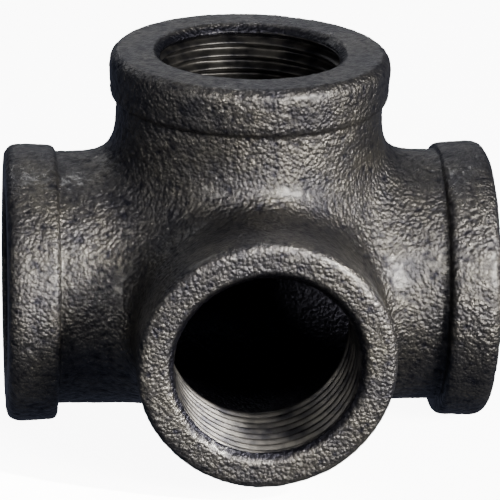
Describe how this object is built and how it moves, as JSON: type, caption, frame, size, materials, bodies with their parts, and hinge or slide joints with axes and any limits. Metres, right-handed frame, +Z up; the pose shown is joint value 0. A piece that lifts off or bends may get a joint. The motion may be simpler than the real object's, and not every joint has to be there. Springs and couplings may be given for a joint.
{
  "type": "pipe fitting",
  "caption": "Black malleable-iron cross fitting with a straight run, an upright branch and a side outlet, each with a female pipe thread.",
  "frame": {"origin": "the point where the axes of the four ports cross", "axes": "X runs along the straight run, +Z points up out of the branch and -Y points out of the side outlet"},
  "size_m": [0.066, 0.052, 0.052],
  "materials": {
    "cast_skin": "oiled black sand-cast skin with a coarse grain",
    "cut_thread": "cut thread, semi-bright under thin dark oil"
  },
  "bodies": {
    "root": {"hub": "cast_skin", "left_neck": "cast_skin", "right_neck": "cast_skin", "branch_neck": "cast_skin", "outlet_boss": "cast_skin", "left_band": "cast_skin", "right_band": "cast_skin", "branch_band": "cast_skin", "left_corner_web": "cast_skin", "right_corner_web": "cast_skin", "left_thread": "cut_thread", "right_thread": "cut_thread", "branch_thread": "cut_thread", "outlet_thread": "cut_thread"}
  },
  "joints": []
}
